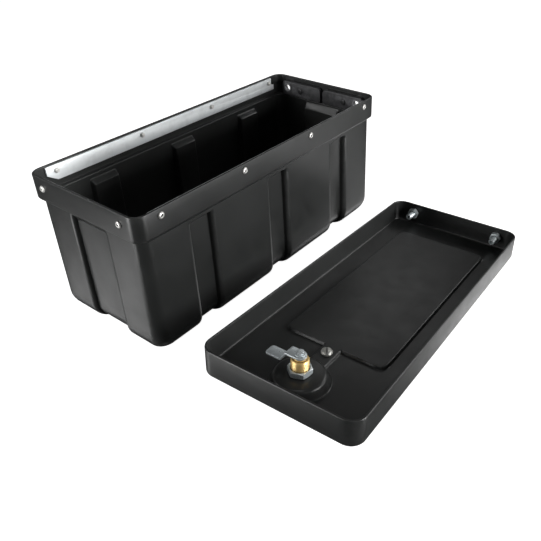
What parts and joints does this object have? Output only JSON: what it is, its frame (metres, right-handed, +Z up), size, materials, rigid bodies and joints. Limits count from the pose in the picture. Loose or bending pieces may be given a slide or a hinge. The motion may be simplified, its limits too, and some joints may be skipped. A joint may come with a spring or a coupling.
{
  "type": "caravan battery box",
  "caption": "Moulded plastic battery box for a caravan drawbar, with a lift-off lid that hooks at one end and locks with a T-handle.",
  "frame": {"origin": "under the middle of the tub, on the floor it stands on", "axes": "+X along the tub from the lock end to the stud end, -Y towards the lid lying beside the tub, +Z up"},
  "size_m": [0.5394, 0.529, 0.226],
  "materials": {
    "black_plastic": "moulded, fine grain, slight sheen",
    "black_plate": "smooth sheet, satin",
    "bar_metal": "mill finish, fine lengthwise grain",
    "rivet_metal": "satin",
    "zinc": "bright zinc plate",
    "brass": "turned, semi-bright",
    "screw_metal": "dull zinc plate",
    "rubber": "matt",
    "handle_metal": "die cast, satin chrome"
  },
  "bodies": {
    "tub": {"back_bar": "bar_metal", "back_bar_rivet_1": "rivet_metal", "back_bar_rivet_2": "rivet_metal", "back_bar_rivet_3": "rivet_metal", "back_bar_rivet_4": "rivet_metal", "front_bar": "bar_metal", "front_bar_rivet_1": "rivet_metal", "front_bar_rivet_2": "rivet_metal", "front_bar_rivet_3": "rivet_metal", "front_bar_rivet_4": "rivet_metal", "keeper_plate": "black_plate", "keeper_rivet_back": "rivet_metal", "keeper_rivet_front": "rivet_metal", "stud_eyelet_back": "rivet_metal", "stud_eyelet_front": "rivet_metal", "stud_plate_back": "black_plate", "stud_plate_front": "black_plate", "stud_plate_rivet_back": "black_plate", "stud_plate_rivet_front": "black_plate", "tub": "black_plastic"},
    "lid": {"lid": "black_plastic", "stud_front": "zinc", "stud_back": "zinc", "stud_nut_front": "zinc", "stud_nut_back": "zinc", "lid_screw": "screw_metal", "lid_screw_nut": "zinc", "lock_barrel": "brass", "lock_seal": "rubber", "lock_nut": "zinc"},
    "lock": {"lock_spindle": "brass", "lock_tongue": "zinc", "tongue_screw": "zinc", "lock_handle": "handle_metal"},
    "key": {"key_plug": "brass"}
  },
  "joints": [
    {"name": "lid_turn", "type": "hinge", "parent": "tub", "child": "lid", "pos_m": [0.00923, -0.14534, 0.14422], "axis": [-0.9989, -0.0255, 0.0382], "range_deg": [0, 179.89]},
    {"name": "lock_turn", "type": "hinge", "parent": "lid", "child": "lock", "pos_m": [-0.20188, -0.30165, 0.07445], "axis": [0.0763, 0.0039, 0.9971], "range_deg": [0, 90]},
    {"name": "key_turn", "type": "hinge", "parent": "lock", "child": "key", "pos_m": [-0.20188, -0.30165, 0.07445], "axis": [0.0763, 0.0039, 0.9971], "range_deg": [0, 90]}
  ]
}
